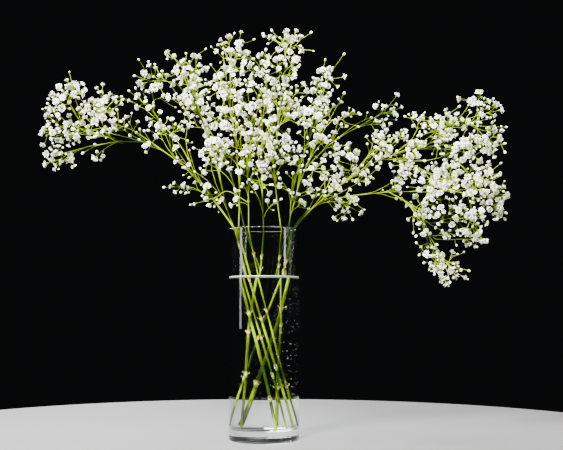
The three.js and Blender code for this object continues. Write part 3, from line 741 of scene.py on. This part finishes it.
def whorl(petals, tips, radius, tip_lift, notch, notch_lift, heart, drop, turn, spread):
    """One closed whorl of petals: a low cone whose rim is drawn in between the petals. Its radius is near 1."""
    per = tips + 1
    sizes = {"vertices": per * petals, "radius1": radius, "radius2": 0, "depth": heart}
    bpy.ops.mesh.primitive_cone_add(**sizes, location=(0, 0, heart / 2), end_fill_type="TRIFAN")
    made = bpy.context.object
    bpy.ops.object.transform_apply(location=True, rotation=True, scale=True)
    bpy.ops.object.mode_set(mode="EDIT")
    step = TURN / (per * petals)

    def move(operator, test, **how):
        """Moves the points that pass a test of their place in a petal, which the heart's points don't have."""
        mesh = bmesh.from_edit_mesh(made.data)
        bpy.ops.mesh.select_all(action="DESELECT")
        bpy.ops.mesh.select_mode(type="VERT")
        for v in mesh.verts:
            place = round(math.atan2(v.co.y, v.co.x) / step) % per if v.co.xy.length > HEART else None
            v.select_set(test(place, v.co.z))
        bmesh.update_edit_mesh(made.data)
        operator(**how)

    resize, rotate, lift = bpy.ops.transform.resize, bpy.ops.transform.rotate, bpy.ops.transform.translate
    about = {"orient_axis": "Z", "center_override": (0, 0, 0)}
    move(resize, lambda place, z: place == 0, value=(notch, notch, 1), center_override=(0, 0, 0))
    lift(value=(0, 0, notch_lift))
    move(lift, lambda place, z: place is not None and place != 0, value=(0, 0, tip_lift))
    move(lift, lambda place, z: place is None and z < heart / 2, value=(0, 0, -drop))
    if spread:
        move(rotate, lambda place, z: place == 1, value=spread, **about)
        move(rotate, lambda place, z: place == per - 1, value=-spread, **about)
    move(rotate, lambda place, z: True, value=turn, **about)
    bpy.ops.object.mode_set(mode="OBJECT")
    return shape_of(made)


def petal_spots(points, faces, petals, radius):
    """Where each corner lies on the map: across its petal, and out from the heart."""
    spots = []
    for face in faces:
        middle = sum((points[i] for i in face), Vector()) / len(face)
        about = math.atan2(middle.y, middle.x)
        for i in face:
            p = points[i]
            turn = math.remainder(math.atan2(p.y, p.x) - about, TURN)
            across = (about + turn) * petals / TURN % 1 if p.xy.length > HEART else 0.5
            spots.append((across, min(1.0, p.xy.length / radius)))
    return spots


def floret_of(whorls, seed):
    """A floret from its whorls, with its petals a little uneven."""
    draw = random.Random(seed)
    points, faces, spots = [], [], []
    for sizes in whorls:
        petals, _, radius, *_ = sizes
        whorl_points, whorl_faces = whorl(*sizes)
        spots += petal_spots(whorl_points, whorl_faces, petals, radius)
        faces += [tuple(len(points) + i for i in face) for face in whorl_faces]
        for p in whorl_points:
            ruffle = RUFFLE * radius if p.xy.length > HEART else 0.0
            points.append(p + Vector([draw.uniform(-ruffle, ruffle) for _ in range(3)]))
    return np.array(points), faces, spots


OPEN_FLORETS = [floret_of(OPEN_WHORLS, seed) for seed in range(6)]
HALF_OPEN_FLORETS = [floret_of(HALF_OPEN_WHORLS, seed) for seed in range(20, 24)]
BUD_SIZE = (0.85, 0.85, 1.15)
BUD_TONE = (0.1, 0.4)  # how white a bud is at its foot, and how much whiter further up


def make_bud():
    bpy.ops.mesh.primitive_uv_sphere_add(segments=6, ring_count=5, radius=1)
    points, faces = shape_of(bpy.context.object)
    points = np.array(points) * BUD_SIZE
    spots = [(0.5, BUD_TONE[0] + BUD_TONE[1] * (points[i][2] + BUD_SIZE[2])) for face in faces for i in face]
    return points, faces, spots


BUD = make_bud()


def stamp(shell, pattern, at, axis, size, draw):
    """Sets a floret or bud on a twig, turned and toned by the draw."""
    points, faces, spots = pattern
    basis = axis.to_track_quat("Z", "Y").to_matrix() @ Matrix.Rotation(draw.uniform(0, TURN), 3, "Z")
    tone = draw.randrange(TONES)
    placed = points @ (np.array(basis).T * size) + np.array(at)
    shell.add(placed.tolist(), faces, [((tone + u) / TONES, v) for u, v in spots])


# ---- Twigs and sprays ----

TWIG = {"first": 0.32, "thinner": 0.87, "least": 0.19, "pedicel": 1.15, "sides": 5}
BLOOM = (3.2, 4.6)
SMALL_BLOOM = {"size": (2.4, 3.5), "share": 0.4, "reach": (7, 12), "lean": (0.5, 1.3)}
FAR_BLOOM = {"size": (2.9, 4.1), "share": 0.3, "reach": (11, 20), "lean": (0.5, 1.5)}
NEAR_BUD = {"size": (0.9, 1.7), "share": 0.75, "reach": (5, 10), "lean": (0.5, 1.3)}
FAR_BUD = {"size": (1.0, 1.9), "share": 0.75, "reach": (12, 24), "lean": (0.8, 2.4)}
SIDE_BLOOMS = (FAR_BLOOM, SMALL_BLOOM, FAR_BUD, NEAR_BUD)
BUD_MOST, HALF_OPEN_MOST = 2.0, 3.5
# a ring of a calyx: how far up it is, how wide, and its height on the map
CALYX = ((0.0, 0.07, 0.0), (0.12, 0.19, 0.2), (0.3, 0.25, 0.5), (0.5, 0.27, 0.8), (0.62, 0.31, 1.0))
CALYX_OF = {"sides": 6, "bud": 2.4, "least": 3.4}
NECK = {"bud": 1.3, "floret": 0.75}  # how far under its middle the calyx starts
FORK_BRACT = {"off": 0.6, "length": (1.6, 2.6), "width": 0.9}
LUSH = (0.9, 0.9, 0.65, 0.2, 0.5, 0.5, 1.0, 0.5)  # how richly each stem's sprays bloom
RICHER_BLOOM = 0.15  # how much larger a richer spray's florets are
# how much more or less richly than that each spray of the stem blooms
RICHER = (
    (1.3, 1.5, 1, 0.5, 1.8, 0.3, 0.3), (1, 1, 1), (1.4, 1, 1, 1), (0, 0, 0, 1), (0, 1, 1), (1, 0.2, 1.6, 1, 1, 1),
    (1, 1, 0.5, 1, 0.4, 0.3, 1, 1.3, 1, 1.3, 1, 1.5, 1.5, 0.3, 1.4, 1.8, 1.4, 1.5, 0.8), (1, 0.2, 0),
)
TWIG_MAPS = {"twig": 0, "calyx": 1, "bract": 2}
PULL = 0.35  # how stiffly a twig keeps to its first and last direction
OVERLAP = 0.95  # how far apart florets stand, as a share of their two sizes
SHOOT_STEPS = 6
TRIES = {"side": 16, "shoot": 20}
CLEAR = {"limb": 0.4, "vase": 2}


def curve_to(start, heading, end, arrive, steps=4):
    """A twig's path, which leaves along heading and comes in along arrive."""
    reach = (end - start).length
    a, b = start + heading * (PULL * reach), end - arrive * (PULL * reach)
    shares = [(1 - t, t) for t in taper(0, 1, steps + 1)]
    return [start * s**3 + a * (3 * s * s * t) + b * (3 * s * t * t) + end * t**3 for s, t in shares]


def across(axis, turn):
    """A direction at right angles to an axis, turned about it."""
    side = axis.orthogonal().normalized()
    side.rotate(Quaternion(axis, turn))
    return side


def drawn_side(axis, draw):
    side = Vector([draw.gauss(0, 1) for _ in range(3)])
    return (side - axis * side.dot(axis)).normalized()


LOWEST, HIGHEST = (Vector(corner) / MM for corner in cad_box)


def is_within(at, radius):
    """Whether a floret stays in the room that the bunch takes, and clear of the vase."""
    beside = math.hypot(at.x, at.y) - radius > VASE["radius"] + CLEAR["vase"]
    above = at.z - radius > VASE["height"] + CLEAR["vase"]
    inside = all(low <= x - radius and x + radius <= high for low, x, high in zip(LOWEST, at, HIGHEST))
    return inside and (beside or above)


class Room:
    """The places that florets, buds and limbs already take."""

    def __init__(self):
        self.taken = np.zeros((0, 4))

    def take(self, at, radius):
        self.taken = np.vstack([self.taken, (*at, radius)])

    def lets_in(self, at, radius):
        """Takes a place for a floret or bud, if it is free."""
        far = np.linalg.norm(self.taken[:, :3] - np.array(at), axis=1)
        is_free = is_within(at, radius) and bool((far > OVERLAP * (self.taken[:, 3] + radius)).all())
        if is_free:
            self.take(at, radius)
        return is_free


room = Room()
for stem in stems:
    for limb in stem.limbs:
        for p, radius in zip(limb.path, limb.radii):
            room.take(p, radius + CLEAR["limb"])


def add_calyx(green, neck, axis, radius):
    """The green cup under a floret."""
    path = [neck + axis * (radius * up) for up, _, _ in CALYX]
    bands = [(TWIG_MAPS["calyx"], low[2], high[2]) for low, high in zip(CALYX, CALYX[1:])]
    add_tube(green, path, [radius * wide for _, wide, _ in CALYX], CALYX_OF["sides"], bands)


def add_twig(green, path, start, end):
    add_tube(green, path, taper(start, end, len(path)), TWIG["sides"])


def add_bloom(green, white, start, heading, site, axis, radius, width, draw):
    """A pedicel with its calyx and its floret or bud."""
    kind = "bud" if radius < BUD_MOST else "floret"
    neck = site - axis * (radius * NECK[kind])
    path = curve_to(start, heading, neck, axis)
    add_twig(green, path, width, TWIG["least"])
    add_calyx(green, neck, axis, CALYX_OF["bud"] * radius if kind == "bud" else max(radius, CALYX_OF["least"]))
    florets = OPEN_FLORETS if radius > HALF_OPEN_MOST else HALF_OPEN_FLORETS
    stamp(white, BUD if kind == "bud" else draw.choice(florets), site, axis, radius, draw)
    return path


def add_side_bloom(green, white, path, axis, kind, draw):
    """A smaller floret or bud on its own pedicel beside a floret, where there is room for it."""
    radius = draw.uniform(*kind["size"])
    for _ in range(TRIES["side"]):
        root = path[draw.randrange(1, len(path) - 1)]
        side = drawn_side(axis, draw)
        heading = (axis * draw.uniform(*kind["lean"]) + side).normalized()
        site = root + heading * draw.uniform(*kind["reach"])
        facing = (heading + axis * 0.4 + side * 0.2).normalized()
        if room.lets_in(site, radius):
            add_bloom(green, white, root, axis, site, facing, radius, TWIG["least"] * TWIG["pedicel"], draw)
            return


def add_fork_bracts(green, at, axis, width, draw):
    side = across(axis, draw.uniform(0, TURN))
    for away in (side, -side):
        root, length = at + away * width * FORK_BRACT["off"], draw.uniform(*FORK_BRACT["length"])
        add_bract(green, root, axis, away, length, FORK_BRACT["width"], TWIG_MAPS["bract"])


def grow(green, white, start, heading, fork, width, spray, draw):
    """The twigs above a fork, each thinner than the one that carries it."""
    at, children = fork
    if not children:
        axis = spray.axes[tuple(at)]
        richer = RICHER[spray.stem.number][spray.number]
        radius = draw.uniform(*BLOOM) * (1 - RICHER_BLOOM + RICHER_BLOOM * richer)
        path = add_bloom(green, white, start, heading, at, axis, radius, width, draw)
        for kind in SIDE_BLOOMS:
            lush = LUSH[spray.stem.number] * richer if kind["size"][1] > BUD_MOST else 1
            if draw.random() < kind["share"] * lush:
                add_side_bloom(green, white, path, axis, kind, draw)
        return
    arrive = (toward(start, at) * 2 + heading).normalized()
    thinner = max(TWIG["least"], width * TWIG["thinner"])
    add_twig(green, curve_to(start, heading, at, arrive), width, thinner)
    add_fork_bracts(green, at, arrive, thinner, draw)
    for child in children:
        grow(green, white, at, arrive, child, thinner, spray, draw)


# ---- Stems ----

JOINT_RINGS = (-3.4, -2.2, -1.2, -0.5, 0.0, 0.5, 1.3, 2.4, 3.4)
JOINT_SWELL = (1.0, 1.06, 1.18, 1.32, 1.2, 1.28, 1.14, 1.04, 1.0)
JOINT_ROOM = {"apart": 8, "ends": 4, "clear": 0.3}
FULL_BELOW = RIM["height"] + 20  # above this the joints are only half as swollen
STEM_MAPS = {"stem": 0, "joint": 1, "bract": 2}
MAP_LENGTH = 500  # a stem of this length would fill the map
STEM_BRACT = {"wet": (3.4, 0.75), "length": (2.8, 5.5), "flare": 0.3, "width": 2.2}
SIDES = {"stem": 12, "limb": 8}


def how_far(path, far, at):
    """How far along a path the place on it nearest to a point is."""
    ways = np.diff(path, axis=0)
    shares = np.clip(((at - path[:-1]) * ways).sum(axis=1) / (ways**2).sum(axis=1), 0, 1)
    best = np.linalg.norm(path[:-1] + ways * shares[:, None] - at, axis=1).argmin()
    return float(far[best] + shares[best] * (far[best + 1] - far[best]))


def add_limb(shell, limb, sides, draw):
    """A stem, arm or branch with a swelling and a pair of bracts at each of its joints."""
    path = np.array(limb.path)
    far = np.concatenate([[0], np.cumsum(np.linalg.norm(np.diff(path, axis=0), axis=1))])
    joints = sorted({round(how_far(path, far, np.array(j)), 2) for j in limb.joints})
    joints = [j for i, j in enumerate(joints) if i == 0 or j - joints[i - 1] > JOINT_ROOM["apart"]]
    joints = [j for j in joints if JOINT_ROOM["ends"] < j < far[-1] - JOINT_ROOM["ends"]]
    span = JOINT_RINGS[-1]

    def place(mark):
        return Vector([np.interp(mark, far, path[:, k]) for k in range(3)])

    def joints_near(mark):
        return [j for j in joints if abs(mark - j) < span]

    def is_low(joint):
        return place(joint).z < FULL_BELOW

    marks = [f for f in far if all(abs(f - j) > span + JOINT_ROOM["clear"] for j in joints)]
    marks = sorted(marks + [j + ring for j in joints for ring in JOINT_RINGS])
    bands = []
    for low, high in zip(marks, marks[1:]):
        near = [j for j in joints_near((low + high) / 2) if is_low(j)]
        if near:
            bands.append((STEM_MAPS["joint"], *((end - near[0] + span) / (2 * span) for end in (low, high))))
        else:
            bands.append((STEM_MAPS["stem"], low / MAP_LENGTH, high / MAP_LENGTH))
    swells = []
    for mark in marks:
        near = joints_near(mark)
        swell = max([1.0, *(float(np.interp(mark - j, JOINT_RINGS, JOINT_SWELL)) for j in near)])
        swells.append(swell if any(map(is_low, near)) else (1 + swell) / 2)
    radii = np.interp(marks, far, limb.radii)
    add_tube(shell, [place(mark) for mark in marks], [float(r * s) for r, s in zip(radii, swells)], sides, bands)
    turn = draw.uniform(0, TURN)
    for number, joint in enumerate(joints):
        at = place(joint)
        axis = toward(at, place(joint + 2))
        radius = float(np.interp(joint, far, limb.radii))
        side = across(axis, turn + number * TURN / 4)
        is_wet = at.z < WATER_LEVEL
        length, flare = STEM_BRACT["wet"] if is_wet else (draw.uniform(*STEM_BRACT["length"]), STEM_BRACT["flare"])
        for away in (side, -side):
            root, width = at + away * radius, STEM_BRACT["width"] * radius
            add_bract(shell, root, axis, away, length, width, STEM_MAPS["bract"], flare)


for stem in stems:
    for spray in stem.sprays:
        root = spray.limb.path[0]
        others = [limb for limb in stem.limbs if limb is not spray.limb]
        carrier = min(others, key=lambda limb: min((p - root).length for p in limb.path))
        carrier.joints.append(root)
    shell = Shell()
    draw = random.Random(100 + stem.number)
    for limb in stem.limbs:
        add_limb(shell, limb, SIDES["stem" if limb is stem.limbs[0] else "limb"], draw)
    shell.piece(f"{stem.name}_green", [STEM_SKIN, JOINT_SKIN, BRACT_SKIN], "stem", [stem.name])

for spray in sprays:
    sites = floret_sites(spray.node)
    spray.axes = {tuple(site): axis for site, axis in sites}
    spray.tree = forks_of(spray.base + spray.heading * GAP, [site for site, _ in sites])
    for site, _ in sites:
        room.take(site, BLOOM[1])

# Side shoots: how far apart they are, how far ahead and aside they reach, and what they bear. A wisp bears buds.
SHOOTS_FROM = {"above": RIM["height"] + 10, "most": 0.9, "low": 232, "low_share": 0.4}
SHOOT = {"every": 52, "ahead": (16, 44), "away": (8, 20), "width": 0.26, "size": BLOOM}
LONG_SHOOT = {"every": 80, "ahead": (45, 90), "away": (6, 30), "width": 0.3, "size": BLOOM}
WISP = {"every": 46, "ahead": (26, 70), "away": (4, 22), "width": 0.24, "size": (1.1, 1.9)}


def add_shoot(green, white, start, heading, site, axis, radius, kind, draw):
    """A long pedicel with a floret or bud at its end, and smaller ones beside it."""
    path = curve_to(start, heading, site - axis * (NECK["floret"] * radius), axis, SHOOT_STEPS)
    add_bloom(green, white, start, heading, site, axis, radius, kind["width"], draw)
    for beside in (NEAR_BUD,) if kind is WISP else (SMALL_BLOOM, SMALL_BLOOM, FAR_BUD, NEAR_BUD):
        add_side_bloom(green, white, path[SHOOT_STEPS // 2 :], axis, beside, draw)


def add_shoots(green, white, limb, kind, lush, draw):
    """Thin side shoots along a limb."""
    length = sum((b - a).length for a, b in zip(limb.path, limb.path[1:]))
    every = kind["every"] * (SHOOTS_FROM["low_share"] if limb.path[-1].z < SHOOTS_FROM["low"] else 1)
    for _ in range(round(length / every * (1 + lush) / 2)):
        i = draw.randrange(1, round(len(limb.path) * SHOOTS_FROM["most"]))
        start, heading = limb.path[i], toward(limb.path[i - 1], limb.path[i])
        if start.z < SHOOTS_FROM["above"] and math.hypot(start.x, start.y) < REACH["beside"]:
            continue
        for _ in range(TRIES["shoot"]):
            away = drawn_side(heading, draw)
            site = start + heading * draw.uniform(*kind["ahead"]) + away * draw.uniform(*kind["away"])
            radius = draw.uniform(*kind["size"])
            if room.lets_in(site, radius):
                axis = (toward(start, site) + away * 0.5).normalized()
                add_shoot(green, white, start, heading, site, axis, radius, kind, draw)
                break


# Shoots that close the gaps between the sprays: their stem, the middle of their florets, and how many they bear.
FILLING = (
    (0, (-193, 5, 368), 3), (2, (-35, -20, 432), 1), (3, (-22, -60, 292), 3), (3, (-26, -45, 264), 1),
    (5, (24, -32, 364), 4), (5, (31, -34, 345), 4), (5, (21, -30, 382), 2), (6, (109, -12, 286), 2),
    (6, (101, -14, 267), 2), (6, (192, -40, 252), 3), (6, (216, -5, 219), 2),
)
FILL = {"spread": 8, "least": 20, "forward": 0.6}


def fill_gap(green, white, stem, middle, count, draw):
    """A few florets in a gap, on pedicels from the nearest limb that heads for it."""
    ways = []
    for limb in stem.limbs:
        for a, b in zip(limb.path, limb.path[1:]):
            far = (middle - b).length
            if far > FILL["least"] and toward(b, middle).dot(toward(a, b)) > FILL["forward"]:
                ways.append((far, b, toward(a, b)))
    _, start, heading = min(ways, key=lambda way: way[0])
    for _ in range(count):
        for _ in range(TRIES["shoot"]):
            site = middle + Vector([draw.gauss(0, FILL["spread"]) for _ in range(3)])
            radius = draw.uniform(*SHOOT["size"])
            if room.lets_in(site, radius):
                add_shoot(green, white, start, heading, site, toward(start, site), radius, SHOOT, draw)
                break


for stem in stems:
    green, white = Shell(), Shell()
    for spray in stem.sprays:
        draw = random.Random(spray.node)
        grow(green, white, spray.base, spray.heading, spray.tree, TWIG["first"], spray, draw)
    draw = random.Random(200 + stem.number)
    for kind in (SHOOT, LONG_SHOOT, WISP):
        for limb in stem.limbs:
            add_shoots(green, white, limb, kind, 1 if kind is WISP else LUSH[stem.number], draw)
    for number, middle, count in FILLING:
        if number == stem.number:
            fill_gap(green, white, stem, Vector(middle), count, draw)
    nodes = [spray.node for spray in stem.sprays]
    green.piece(f"{stem.name}_twigs", [TWIG_SKIN, CALYX_SKIN, BRACT_SKIN], "stem", nodes)
    white.piece(f"{stem.name}_florets", [PETAL], "petal", nodes, crease=72)


# ---- The floor, the light and the camera ----

FLOOR = {"radius": 0.5, "sides": 128, "tones": ((0.3, (0.082, 0.082, 0.082)), (0.7, (0.09, 0.09, 0.089)))}
STUDIO = {"colour": (0.004, 0.0042, 0.0046, 1), "lamps_face": (0.02, 0, 0.26)}
# where each light stands, its width and height, in metres, and its power
LIGHTS = {
    "key light": ((-0.7, -1.2, 1.3), 0.35, 0.35, 350),
    "fill light": ((1.3, -0.8, 1.2), 0.8, 0.8, 22),
    "back light": ((-0.5, 1.2, 0.9), 0.9, 0.9, 30),
    "top light": ((0.05, 0.15, 1.5), 0.7, 0.7, 80),
    "left strip light": ((-1.2, -0.17, 0.49), 0.17, 0.8, 2.8),
    "right strip light": ((1.15, -0.33, 0.62), 0.1, 0.8, 1.5),
}
CAMERA = {"at": (0.019, -1.1, 0.14), "up": 4.84, "lens": 64.2, "sensor": 36}


def make_stage():
    bpy.ops.mesh.primitive_circle_add(vertices=FLOOR["sides"], radius=FLOOR["radius"], fill_type="NGON")
    floor = bpy.context.object
    floor.name = "floor"
    finish = Finish("pale floor", Roughness=0.7)
    grain = finish.noise(finish.place(), 6.0, 3.0)
    floor.data.materials.append(finish.wear(Base_Color=finish.ramp(grain, *FLOOR["tones"])))
    world = bpy.context.scene.world = bpy.data.worlds.new("studio")
    world.use_nodes = True
    world.node_tree.nodes["Background"].inputs["Color"].default_value = STUDIO["colour"]


def add_light(name, at, width, height, power):
    """A soft light that faces the middle of the bunch."""
    bpy.ops.object.light_add(type="AREA", location=at)
    light = bpy.context.object
    light.name = name
    light.rotation_euler = (Vector(STUDIO["lamps_face"]) - Vector(at)).to_track_quat("-Z", "Y").to_euler()
    light.data.shape, light.data.energy = "RECTANGLE", power
    light.data.size, light.data.size_y = width, height


def make_camera():
    bpy.ops.object.camera_add(location=CAMERA["at"], rotation=(math.radians(90 + CAMERA["up"]), 0, 0))
    camera = bpy.context.object
    camera.data.lens, camera.data.sensor_width = CAMERA["lens"], CAMERA["sensor"]
    bpy.context.scene.camera = camera


make_stage()
for name, light in LIGHTS.items():
    add_light(name, *light)
make_camera()
